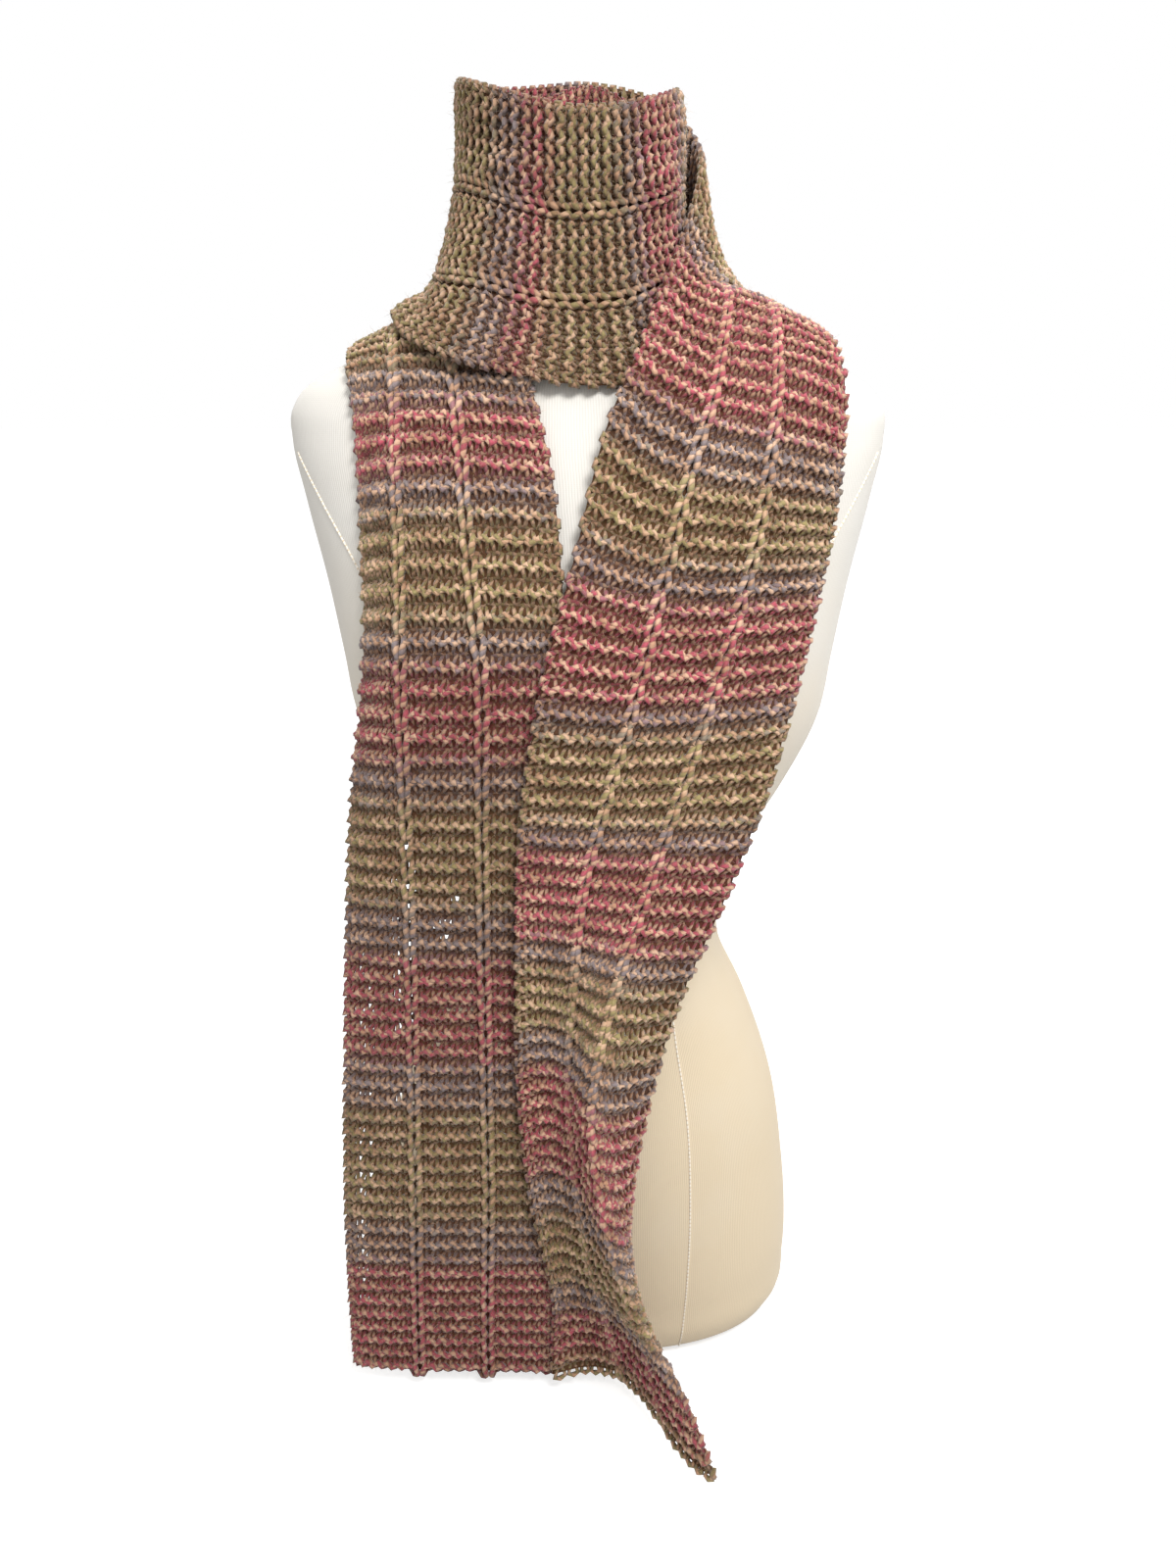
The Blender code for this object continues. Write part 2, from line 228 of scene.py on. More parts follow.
# Distance along the strip where each colour of the yarn starts. The yarn runs through pink,
# grey, olive and grey again.
COLOUR_BANDS = (
    (0, "pink"), (92, "grey"), (128, "olive"), (214, "grey"), (250, "pink"), (322, "grey"),
    (358, "olive"), (424, "grey"), (449, "pink"), (504, "grey"), (528, "olive"), (590, "grey"),
    (612, "pink"), (652, "grey"), (676, "olive"), (770, "grey"), (800, "pink"), (960, "grey"),
    (985, "olive"), (1012, "grey"), (1026, "pink"), (1066, "grey"), (1080, "olive"),
    (1130, "pink"), (1146, "grey"), (1168, "olive"), (1260, "grey"), (1285, "pink"),
    (1345, "grey"), (1375, "olive"), (1440, "grey"), (1490, "olive"), (1530, "grey"),
    (1552, "pink"), (1640, "grey"), (1670, "olive"), (1716, "grey"), (1738, "pink"),
    (1801, "grey"), (1819, "olive"), (1876, "grey"), (1895, "pink"), (1957, "grey"),
    (1977, "olive"), (2026, "grey"), (2055, "pink"), (2138, "grey"), (2170, "olive"),
    (2224, "grey"), (2252, "pink"), (2292, "olive"),
)

# The cover's princess seams: height and distance from the middle, and half of a seam's width.
SEAM_RADIUS = 0.7
SEAM_POINTS = (
    (2, 66), (70, 70), (137, 70.5), (200, 67), (262, 57.7), (330, 52), (400, 60), (450, 75),
    (500, 98), (540, 120), (580, 143), (610, 162), (635, 177),
)
SEAM_HEIGHTS = np.arange(3.0, 634.0, 3.5)
SEAM_SIDES = 6
NECK_SEAM_DROP = 8.0
NECK_SEAM_POINTS = 120

# The cover's points round each level, and its levels.
COVER_SIDES = 192
COVER_HEIGHTS = np.concatenate([
    [0, 0.6, 1.6, 3, 5, 8], np.arange(12, 640, 7.0), np.arange(640, 740, 4.0),
    np.arange(740, 784, 5.0), [784, 786, 788, 789.2, 790]])

# The stage, in metres and watts. Each lamp: name, place, aim, power and width. The room's light
# grows from its strength below to its strength above.
FLOOR_HALF = 30.0
FLOOR_DROP = 0.0004
FLOOR_TONE = 0.55
FLOOR_GLOW = 0.62
ROOM_LIGHT = (("From Min", 0.2), ("From Max", -0.9), ("To Min", 0.5), ("To Max", 1.05))
LAMPS = (
    ("key", (0.4, -1.05, 1.6), (0, 0, 0.62), 19.5, 0.45),
    ("top", (0.35, 0.4, 2.0), (0, 0, 0.7), 12, 0.9),
)
CAMERA_PLACE = (0.0, -0.774, 0.662)
CAMERA_DOWN = 18
CAMERA_LENS = 27.0
CAMERA_SENSOR = 36.0


def hermite(knots, values, at):
    """Values on the cubic through the knots, with the slope at each knot taken from the parabola
    through it and its two neighbours."""
    step = np.diff(knots)
    shape = (-1,) + (1,) * (values.ndim - 1)
    chord = np.diff(values, axis=0) / step.reshape(shape)
    before, after = step[:-1].reshape(shape), step[1:].reshape(shape)
    inner = (chord[:-1] * after + chord[1:] * before) / (before + after)
    slope = np.concatenate([2 * chord[:1] - inner[:1], inner, 2 * chord[-1:] - inner[-1:]])
    span = np.clip(np.searchsorted(knots, at, side="right") - 1, 0, len(step) - 1)
    width = step[span].reshape(shape)
    t = ((at - knots[span]) / step[span]).reshape(shape)
    return (values[span] * (1 + 2 * t) * (1 - t) ** 2
            + slope[span] * width * t * (1 - t) ** 2
            + values[span + 1] * t * t * (3 - 2 * t)
            - slope[span + 1] * width * t * t * (1 - t))


def form_sizes(height):
    """Half width, front reach, back reach, and the section's middle in x and y, at a height."""
    table = np.array(FORM_SECTIONS, float)
    clamped = np.clip(height, table[0, 0], table[-1, 0])
    sizes = hermite(table[:, 0], table[:, 1:], clamped)
    up_neck = np.clip((height - NECK_ROOT + 20) / 40, 0, 1)
    middle_x = NECK_SIDESTEP * up_neck * up_neck * (3 - 2 * up_neck)
    middle_y = -NECK_LEAN * np.maximum(height - NECK_ROOT, 0)
    return sizes[..., 0], sizes[..., 1], sizes[..., 2], middle_x, middle_y


def form_level(points):
    """1 on the form's skin and more outside it: the superellipse of the section at that height."""
    half, front, back, middle_x, middle_y = form_sizes(points[:, 2])
    x, y = points[:, 0] - middle_x, points[:, 1] - middle_y
    reach = np.where(y < 0, front, back)
    power = FORM_SQUARENESS
    return (np.abs(x / half) ** power + np.abs(y / reach) ** power) ** (1 / power)


def form_distance(points):
    """About how far each point is outside the form, and the way straight out."""
    level = form_level(points)
    small = 0.5
    slopes = [(form_level(points + small * axis) - form_level(points - small * axis)) / (2 * small)
              for axis in np.eye(3)]
    slope = np.stack(slopes, axis=1)
    steep = np.linalg.norm(slope, axis=1)
    return (level - 1) / steep, slope / steep[:, None]


def laid_on_form(points, clearance):
    """Points nearer to the form than the clearance, moved straight out to it."""
    for _ in range(4):
        distance, out = form_distance(points)
        short = np.maximum(clearance - distance, 0)
        short = np.where(points[:, 2] < FORM_SECTIONS[-1][0], short, 0)
        points = points + short[:, None] * out
    return points


def scarf_knots():
    """How far along the strip each row lies, and the rows' points, in millimetres."""
    rows = np.array([row for stretch in STRETCHES.values() for row in stretch], float)
    steps = np.linalg.norm(np.diff(rows, axis=0), axis=2).mean(axis=1)
    return np.concatenate([[0], np.cumsum(steps)]), rows


def stretch_ends():
    """Where each stretch starts and ends along the strip, halfway between its end rows and its
    neighbours' rows."""
    knots, _ = scarf_knots()
    counts = np.cumsum([len(rows) for rows in STRETCHES.values()])
    cuts = [(knots[count - 1] + knots[count]) / 2 for count in counts[:-1]]
    return list(zip(STRETCHES, [knots[0]] + cuts, cuts + [knots[-1]]))


def smooth_step(low, high, value):
    """0 below low, 1 above high and a soft S between them."""
    t = np.clip((value - low) / (high - low), 0, 1)
    return t * t * (3 - 2 * t)


def row_places():
    """Where each knitted row lies along the strip: two rows to a ridge, each ridge as long as the
    table says there. Returns the rows' distances, and the length of a row at each."""
    knots, _ = scarf_knots()
    fine = np.arange(0, knots[-1] + 1, 1.0)
    table = np.array(RIDGE_LENGTHS, float)
    per_row = np.interp(fine, table[:, 0], table[:, 1]) / 2
    count = np.concatenate([[0], np.cumsum(1 / per_row)[:-1]])
    places = np.interp(np.arange(0.8, count[-1] - 0.3), count, fine)
    return places, np.interp(places, fine, per_row)


def strip_width():
    """The chart's width as the stitches add up."""
    return sum(PANELS) * PANEL_STITCH + (len(PANELS) - 1) * RIB_STITCH


def chart_columns():
    """Each column of the chart from left to right: where it starts, its width, and whether it is
    a rib."""
    widths, ribs = [], []
    for index, panel in enumerate(PANELS):
        widths += [PANEL_STITCH] * panel + [RIB_STITCH] * (index < len(PANELS) - 1)
        ribs += [False] * panel + [True] * (index < len(PANELS) - 1)
    starts = np.concatenate([[0], np.cumsum(widths)[:-1]])
    return starts, np.array(widths), np.array(ribs)


def strip_points(along, across):
    """The strip's middle surface at paired distances along and shares across: smooth through the
    rows along it and the cubic through each row's four points, held clear of the form."""
    knots, rows = scarf_knots()
    columns = hermite(knots, rows, along)
    thirds = np.array([0, 1, 2, 3]) / 3
    weights = np.stack([np.prod([(across - b) / (a - b) for b in thirds if b != a], axis=0)
                        for a in thirds], axis=1)
    points = np.einsum("nk,nkc->nc", weights, columns)
    on_form = CLOTH_THICKNESS / 2 + REST_GAP
    over_cloth = on_form + CLOTH_THICKNESS + REST_GAP
    height = np.interp(along, knots[list(SECOND_TURN_ROWS)],
                       [on_form, over_cloth, over_cloth, on_form])
    return laid_on_form(points, height / MM)


def strip_surface(along, across):
    """The middle surface at paired places, and its unit direction outward."""
    step, narrow = 0.5, 0.004
    forward = strip_points(along + step, across) - strip_points(along - step, across)
    sideways = strip_points(along, across + narrow) - strip_points(along, across - narrow)
    outward = np.cross(sideways, forward)
    outward /= np.linalg.norm(outward, axis=1, keepdims=True)
    return strip_points(along, across), outward


def band_colours(along, palette):
    """The yarn's second ply at each distance along the strip: the band's colour, with a soft
    change of a few millimetres from one band to the next."""
    starts = np.array([start for start, _ in COLOUR_BANDS], float)
    colours = np.array([palette[name] for _, name in COLOUR_BANDS])
    blend = np.repeat(colours[:1], len(along), axis=0)
    for start, before, after in zip(starts[1:], colours[:-1], colours[1:]):
        share = smooth_step(start - BAND_BLEND, start + BAND_BLEND, along)
        blend = blend + (after - before) * share[:, None]
    return blend


def stretch_rows(name):
    """The numbers of the first row of a stretch and of the first row past it."""
    places, _ = row_places()
    start, end = {item[0]: item[1:] for item in stretch_ends()}[name]
    return int(np.searchsorted(places, start)), int(np.searchsorted(places, end))


def yarn_route(first, last, shape, random):
    """The yarn's way through a stretch's rows. Across each stitch t runs from 0 to a full turn.
    A garter loop is: sideways w t / 2 pi + a sin 2t - d cos t, along -b cos t, outward -c f(cos t)
    on a knitted row and +c f(cos t) on the next, purled as seen from this side, where f keeps the
    sign and flattens the crests. A rib's loop is a tall V on knitted rows, its legs outward, and a
    straight float on the others. Rows run to and fro and are joined at the edges. Returns each
    point's distance along, share across, height, radius and row."""
    places, lengths = row_places()
    places, lengths = places[first:last], lengths[first:last]
    starts, widths, ribs = chart_columns()
    counts = np.where(ribs, RIB_POINTS, PANEL_POINTS)
    column = np.repeat(np.arange(len(ribs)), counts)
    turn = np.concatenate([np.arange(count) / count * 2 * np.pi for count in counts])
    rows = len(places)
    wide, on_rib, start = widths[column], ribs[column], starts[column]
    knit = np.where(np.arange(first, last) % 2 == 0, 1.0, -1.0)[:, None]
    long = lengths[:, None]
    spread = random.normal(0, shape.unevenness, (3, rows, len(starts)))[:, :, column]
    cosine = np.cos(turn)
    crest = np.sign(cosine) * np.abs(cosine) ** CREST_POWER
    open_row = smooth_step(*OPEN_ROWS, long)
    loop_width = shape.loop_width + OPEN_WIDTH * open_row
    swing = np.where(on_rib, shape.rib_width, loop_width) * wide * np.sin(2 * turn)
    x = start + wide * turn / (2 * np.pi) + swing * (1 + spread[2])
    x = x - shape.lean * wide * cosine * (1 - on_rib) + PLACE_SPREAD * spread[0]
    front = (knit * cosine < 0)
    reach = long / 2 + np.where(front, shape.overlap, shape.overlap * BACK_OVERLAP) / MM / 2
    y = -reach * cosine * (1 + spread[1])
    calm = np.where((column == 0) | (column == len(ribs) - 1), EDGE_CALM, 1.0)
    z = -knit * shape.loop_height / MM * calm * crest * (1 + spread[2])
    rib_y = -(shape.rib_reach * long * cosine + RIB_DROP * long) * (knit > 0)
    rib_z = np.where(knit > 0, RIB_RISE - shape.rib_height / MM * np.cos(2 * turn), RIB_FLOAT)
    y, z = np.where(on_rib, rib_y, y), np.where(on_rib, rib_z, z)
    leg = np.abs(np.sin(turn))
    thick = np.where(on_rib, np.where(knit > 0, 1 + RIB_SWELL * leg, FLOAT_THICKNESS),
                     1 + CREST_SWELL * (1 - 2 * leg))
    total = strip_width()
    flip = (np.arange(rows) % 2 == 1)[:, None]
    turn_x = np.where(flip, -EDGE_TURN[None, :], total + EDGE_TURN[None, :])
    x = np.concatenate([np.where(flip, x[:, ::-1], x), turn_x], axis=1)
    along = places[:, None] + np.where(flip, y[:, ::-1], y)
    along = np.concatenate([along, places[:, None] + long * EDGE_RISE[None, :]], axis=1)
    z = np.concatenate([np.where(flip, z[:, ::-1], z), knit * EDGE_HEIGHT[None, :]], axis=1)
    thick = np.concatenate([np.where(flip, thick[:, ::-1], thick), np.ones((rows, 2))], axis=1)
    row = np.broadcast_to(places[:, None], x.shape)
    loose = shape.yarn_radius / MM * thick * (1 + OPEN_SWELL * open_row)
    return along.ravel(), (x / total).ravel(), z.ravel(), loose.ravel(), row.ravel()


def lit_share(height, facing, half):
    """How open to the light a point of the knitting is, 0 to 1: a point that faces out is as
    light as it is high, one that faces in is as light as it is low."""
    outer = smooth_step(-0.6, 1.0, height / half)
    inner = smooth_step(-0.6, 1.0, -height / half)
    return inner + (outer - inner) * (1 + facing) / 2


def grid_quads(rows, columns, closed):
    """Each quad's row and column in a grid of points, and its corners. A closed grid joins its
    last column to its first."""
    r, k = np.meshgrid(np.arange(rows - 1), np.arange(columns - (not closed)), indexing="ij")
    after = (k + 1) % columns
    quads = np.stack([r * columns + k, r * columns + after, (r + 1) * columns + after,
                      (r + 1) * columns + k], axis=-1).reshape(-1, 4)
    return r, k, quads


def tube(path, outward, radius, sides):
    """A closed round tube along a path: each ring is r cos v along the outward direction and
    r sin v across it, both square to the path. Returns points, quads, end faces and each quad
    corner's length along and share round, and how much each point faces outward, -1 to 1."""
    ahead = np.gradient(path, axis=0)
    ahead /= np.linalg.norm(ahead, axis=1, keepdims=True)
    across = np.cross(ahead, outward)
    across /= np.linalg.norm(across, axis=1, keepdims=True)
    up = np.cross(across, ahead)
    turn = np.arange(sides) / sides * 2 * np.pi + 0.5 * np.pi / sides
    ring = (up[:, None, :] * np.cos(turn)[None, :, None]
            + across[:, None, :] * np.sin(turn)[None, :, None])
    points = path[:, None, :] + ring * radius[:, None, None]
    facing = np.einsum("nkc,nc->nk", ring, outward).ravel()
    count = len(path)
    r, k, quads = grid_quads(count, sides, closed=True)
    length = np.concatenate([[0], np.cumsum(np.linalg.norm(np.diff(path, axis=0), axis=1))])
    u = np.stack([length[r], length[r], length[r + 1], length[r + 1]], axis=-1).reshape(-1)
    v = np.stack([k, k + 1, k + 1, k], axis=-1).reshape(-1) / sides
    ends = [tuple(range(sides))[::-1], tuple((count - 1) * sides + np.arange(sides))]
    return points.reshape(-1, 3), quads, ends, np.stack([u, v], axis=1), facing


def mesh_piece(name, points, quads, ends=(), uv=None, colours=None, smooth=True):
    """A mesh object from arrays: points in metres, quads, a few larger faces, a UV map for the
    quads' corners, and a colour for each point."""
    mesh = bpy.data.meshes.new(name)
    corners = np.concatenate([quads.ravel(), *[np.array(end) for end in ends]]).astype(np.int32)
    sizes = np.concatenate(
        [np.full(len(quads), quads.shape[1]), [len(end) for end in ends]]).astype(np.int32)
    starts = np.concatenate([[0], np.cumsum(sizes)[:-1]]).astype(np.int32)
    mesh.vertices.add(len(points))
    mesh.vertices.foreach_set("co", np.ascontiguousarray(points, np.float32).ravel())
    mesh.loops.add(len(corners))
    mesh.loops.foreach_set("vertex_index", corners)
    mesh.polygons.add(len(sizes))
    mesh.polygons.foreach_set("loop_start", starts)
    mesh.update(calc_edges=True)
    if smooth:
        mesh.shade_smooth()
    if uv is not None:
        layer = mesh.uv_layers.new(name="weave")
        full = np.zeros((len(corners), 2), np.float32)
        full[: len(uv)] = uv
        layer.uv.foreach_set("vector", full.ravel())
    if colours is not None:
        layer = mesh.color_attributes.new("yarn_colour_and_shade", "FLOAT_COLOR", "POINT")
        layer.data.foreach_set("color", np.ascontiguousarray(colours, np.float32).ravel())
    mesh.validate()
    made = bpy.data.objects.new(name, mesh)
    bpy.context.scene.collection.objects.link(made)
    return made


class Nodes:
    """A short way to write a material's nodes: each call adds one node, sets its inputs and
    returns its first output."""

    def __init__(self, name):
        self.material = bpy.data.materials.new(name)
        self.material.use_nodes = True
        self.tree = self.material.node_tree
        self.shader = self.tree.nodes["Principled BSDF"]

    def put(self, socket, value):
        """Link a socket or set its number or colour."""
        if isinstance(value, bpy.types.NodeSocket):
            self.tree.links.new(value, socket)
        else:
            socket.default_value = value

    def add(self, kind, inputs=(), output=0, **settings):
        """Add a node of a kind, with its settings and its inputs by name or number."""
        node = self.tree.nodes.new(kind)
        for key, value in settings.items():
            setattr(node, key, value)
        for key, value in dict(inputs).items():
            self.put(node.inputs[key], value)
        return node.outputs[output]

    def math(self, operation, first, second=0.0):
        """A Math node."""
        return self.add("ShaderNodeMath", {0: first, 1: second}, operation=operation)

    def mix(self, share, first, second):
        """A colour Mix node."""
        node = self.tree.nodes.new("ShaderNodeMix")
        node.data_type = "RGBA"
        for socket, value in zip([node.inputs[0], node.inputs[6], node.inputs[7]],
                                 [share, first, second]):
            self.put(socket, value)
        return node.outputs[2]

    def ramp(self, value, low, high):
        """A Map Range node from low..high to 0..1, clamped and eased."""
        return self.add("ShaderNodeMapRange", {"Value": value, "From Min": low, "From Max": high},
                        interpolation_type="SMOOTHSTEP")

    def finish(self, colour, roughness, normal=None, **constants):
        """Link the surface, and set the shader's own constants by their names."""
        self.put(self.shader.inputs["Base Color"], colour)
        self.put(self.shader.inputs["Roughness"], roughness)
        if normal is not None:
            self.put(self.shader.inputs["Normal"], normal)
        for key, value in constants.items():
            self.shader.inputs[key.replace("_", " ")].default_value = value
        return self.material


def shaded(m, colour, look):
    """Painted shade: darken a colour toward the dark fibre colour where the knitting is closed to
    the light, by the share that the vertex colour's alpha holds.
    """
    open_share = m.add("ShaderNodeVertexColor", output=1, layer_name="yarn_colour_and_shade")
    deep = m.mix(YARN_PAINTED_SHADE, colour, (*look.dark_fibre_and_shade, 1))
    return m.mix(open_share, deep, colour)


def yarn_material(look):
    """Two-ply marl: one ply keeps its tan and the other takes the band's colour. The plies wind
    round the yarn, so the split runs with length / lay - share round, and a groove lies between
    them, darkened with painted shade. Fine fibres break up both."""
    m = Nodes("marl_yarn")
    place = m.add("ShaderNodeUVMap", uv_map="weave")
    split = m.add("ShaderNodeSeparateXYZ", {0: place}).node
    lay = m.math("MULTIPLY", split.outputs[0], 1 / (look.lay_length / MM))
    wind = m.math("SUBTRACT", lay, split.outputs[1])
    spot = m.add("ShaderNodeTexCoord", output=3)
    drift = m.add("ShaderNodeTexNoise", {"Vector": spot, "Scale": 95.0, "Detail": 2.0})
    wave = m.math("COSINE", m.math("MULTIPLY", m.math("ADD", wind, m.math("MULTIPLY", drift, 0.6)),
                                   2 * math.pi))
    band = m.add("ShaderNodeVertexColor", layer_name="yarn_colour_and_shade")
    tone = m.add("ShaderNodeTexNoise", {"Vector": spot, "Scale": 75.0, "Detail": 2.0})
    tan = m.mix(m.ramp(tone, 0.35, 0.65), (*look.tan_ply, 1), (*look.tan_light, 1))
    dyed = m.mix(m.ramp(tone, 0.62, 0.38), band, m.mix(0.35, band, (*look.dark_fibre_and_shade, 1)))
    colour = m.mix(m.math("MULTIPLY", m.ramp(wave, -0.6, 0.6), 0.9), dyed, tan)
    streak = m.add("ShaderNodeTexNoise", {"Vector": spot, "Scale": 1400.0, "Detail": 2.0})
    colour = m.mix(m.math("MULTIPLY", m.ramp(streak, 0.35, 0.75), 0.3), colour,
                   m.mix(0.5, colour, (*look.pale_fibre, 1)))
    groove = m.math("ABSOLUTE", wave)
    # Painted shade in the groove between the plies.
    colour = m.mix(m.ramp(groove, 0.4, 0.0), colour, m.mix(0.35, colour, (*look.dark_fibre_and_shade, 1)))
    relief = m.math("ADD", m.math("MULTIPLY", groove, 0.7), m.math("MULTIPLY", streak, 0.5))
    normal = m.add("ShaderNodeBump", {"Height": relief, "Strength": 0.9, "Distance": 0.0007})
    return m.finish(shaded(m, colour, look), 0.92, normal, Sheen_Weight=0.25,
                    Sheen_Roughness=0.5, Specular_IOR_Level=0.12)


def backing_material(look):
    """The inside of the knitting between the loops: the band's colour, darkened with painted shade,
    and fuzzy.
    """
    m = Nodes("knit_shadow")
    spot = m.add("ShaderNodeTexCoord", output=3)
    band = m.add("ShaderNodeVertexColor", layer_name="yarn_colour_and_shade")
    fuzz_tone = m.add("ShaderNodeTexNoise", {"Vector": spot, "Scale": 650.0, "Detail": 3.0})
    colour = m.mix(m.ramp(fuzz_tone, 0.4, 0.62), band, (*look.tan_ply, 1))
    # Painted shade: the backing stands in for the back yarn lying in shadow between the loops.
    colour = m.mix(BACKING_PAINTED_SHADE, colour, (*look.dark_fibre_and_shade, 1))
    normal = m.add("ShaderNodeBump", {"Height": fuzz_tone, "Strength": 0.8, "Distance": 0.001})
    return m.finish(colour, 1.0, normal, Specular_IOR_Level=0.05)


def fibre_material(look):
    """Stray fibres: the band's colour or tan, and paler than the yarn."""
    m = Nodes("stray_fibre")
    spot = m.add("ShaderNodeTexCoord", output=3)
    band = m.add("ShaderNodeVertexColor", layer_name="yarn_colour_and_shade")
    tone = m.add("ShaderNodeTexNoise", {"Vector": spot, "Scale": 240.0, "Detail": 1.0})
    colour = m.mix(m.ramp(tone, 0.4, 0.6), band, (*look.tan_light, 1))
    colour = m.mix(0.35, colour, (*look.pale_fibre, 1))
    return m.finish(colour, 0.9, Sheen_Weight=0.2, Specular_IOR_Level=0.1)


def jersey_material(look):
    """The form's cover: fine ribs that run up it, a number of them round each level, with painted
    shade in the valleys between them, on pale cotton painted warmer and darker toward the hips as
    shade, and warmer in random patches."""
    m = Nodes("rib_jersey")
    place = m.add("ShaderNodeUVMap", uv_map="weave")
    split = m.add("ShaderNodeSeparateXYZ", {0: place}).node
    spot = m.add("ShaderNodeTexCoord", output=3)
    height = m.add("ShaderNodeSeparateXYZ", {0: spot}).node.outputs[2]
    wander = m.add("ShaderNodeTexNoise", {"Vector": spot, "Scale": 60.0, "Detail": 2.0})
    turns = m.math("ADD", m.math("MULTIPLY", split.outputs[0], 2 * math.pi * look.rib_count),
                   m.math("MULTIPLY", wander, 4.0))
    rib = m.math("SINE", turns)
    cross = m.math("SINE", m.math("MULTIPLY", split.outputs[1], 2 * math.pi / 0.0011))
    knit = m.math("ADD", rib, m.math("MULTIPLY", cross, 0.35))
    patch = m.add("ShaderNodeTexNoise", {"Vector": spot, "Scale": 14.0, "Detail": 3.0})
    # Painted shade toward the hips, added to random warm patches of the cotton.
    shade_below_and_patches = m.math("ADD", m.ramp(height, 0.66, 0.2),
                 m.math("MULTIPLY", m.math("SUBTRACT", patch, 0.5), 0.5))
    colour = m.mix(shade_below_and_patches, (*look.jersey, 1), (*look.jersey_warm, 1))
    # Painted shade in the valleys between the ribs.
    colour = m.mix(m.math("MULTIPLY", m.ramp(knit, 0.1, -1.2), 0.2), colour,
                   (*look.jersey_painted_shade, 1))
    normal = m.add("ShaderNodeBump", {"Height": rib, "Strength": 0.25, "Distance": 0.0003})
    return m.finish(colour, 0.9, normal, Sheen_Weight=0.15, Sheen_Roughness=0.4,
                    Specular_IOR_Level=0.2)


def thread_material(look):
    """The cover's seams: pale thread, with the warm jersey colour painted between the stitches as
    shade where they pull it in.
    """
    m = Nodes("seam_thread")
    place = m.add("ShaderNodeUVMap", uv_map="weave")
    split = m.add("ShaderNodeSeparateXYZ", {0: place}).node
    stitch = m.math("SINE", m.math("MULTIPLY", split.outputs[0], 2 * math.pi / 3.2))
    # Painted shade in the dips between the stitches.
    colour = m.mix(m.ramp(stitch, 0.2, 0.9), (*look.seam_thread, 1), (*look.jersey_warm, 1))
    return m.finish(colour, 0.9, Specular_IOR_Level=0.15)


def stage_material():
    """Matt white paper that glows a little, so that it meets the white room without an edge."""
    m = Nodes("white_paper")
    seen = m.add("ShaderNodeLightPath")
    m.put(m.shader.inputs["Emission Strength"], m.math("MULTIPLY", seen, FLOOR_GLOW))
    return m.finish((FLOOR_TONE, FLOOR_TONE, FLOOR_TONE, 1.0), 1.0, Specular_IOR_Level=0.0,
                    Emission_Color=(1.0, 1.0, 1.0, 1.0))


def length_property(name, description, default, low, high):
    """A length setting, its values in millimetres."""
    return FloatProperty(name=name, description=description, default=default * MM,
                         min=low * MM, max=high * MM, unit="LENGTH")


def share_property(name, description, default, high):
    """A share from 0 up."""
    return FloatProperty(name=name, description=description, default=default, min=0, max=high,
                         subtype="FACTOR")


def colour_property(name, description, default):
    """A colour setting."""
    return FloatVectorProperty(
        name=name, description=description, size=3, subtype="COLOR", default=default)


class ScarfShape(bpy.types.PropertyGroup):
    """The sizes of the yarn and its loops."""

    yarn_radius: length_property("Yarn radius", "Half of the yarn's thickness", 1.6, 0.5, 4)
    loop_width: share_property(
        "Loop width", "Sideways swing of a loop, as a share of its stitch", 0.19, 0.3)
    overlap: length_property(
        "Overlap", "How far a loop reaches into the next row's loops", 2.9, 0, 6)
    loop_height: length_property("Loop height", "How far loops swing to each face", 2.2, 0, 4)
    fold_height: length_property(
        "Fold height", "How far the backing cloth folds to each face", 1.5, 0, 4)
    lean: share_property(
        "Lean", "How far loops lean sideways, as a share of their stitch", 0.05, 0.3)
    rib_width: share_property(
        "Rib width", "Sideways swing of a rib's loop, as a share of its stitch", 0.21, 0.3)
    rib_reach: FloatProperty(
        name="Rib reach", description="How far a rib's loop reaches, in rows", default=1.22,
        min=0.5, max=2.5)
    rib_height: length_property("Rib height", "How far a rib's legs swing outward", 1.3, 0, 5)
    unevenness: share_property("Unevenness", "Random change from stitch to stitch", 0.09, 0.4)
    fuzz: share_property("Fuzz", "Stray fibres for each point of the yarn", 0.3, 1)
    fibre_radius: length_property(
        "Fibre radius", "Half of a stray fibre's thickness", 0.1, 0.01, 0.5)
    sides: IntProperty(
        name="Yarn sides", description="Faces round the yarn", default=5, min=3, max=12)
    seed: IntProperty(name="Seed", description="Which random unevenness", default=7)


class YarnLook(bpy.types.PropertyGroup):
    """The yarn's colours."""

    tan_ply: colour_property("Tan ply", "The ply that keeps its colour", (0.54, 0.30, 0.175))
    tan_light: colour_property("Light tan", "The tan ply where it is paler", (0.80, 0.52, 0.345))
    pink: colour_property("Pink", "The dyed ply's pink", (0.53, 0.085, 0.13))
    grey: colour_property("Grey", "The dyed ply's blue-grey", (0.29, 0.24, 0.25))
    olive: colour_property("Olive", "The dyed ply's olive", (0.38, 0.31, 0.125))
    # This colour is also the painted shade that the yarn and the backing are darkened toward.
    dark_fibre_and_shade: colour_property("Dark fibre", "The colour deep in the yarn", (0.055, 0.021, 0.011))
    pale_fibre: colour_property("Pale fibre", "The colour of stray fibres", (0.75, 0.58, 0.45))
    lay_length: length_property("Lay length", "Yarn in one turn of its plies", 6.5, 1, 50)


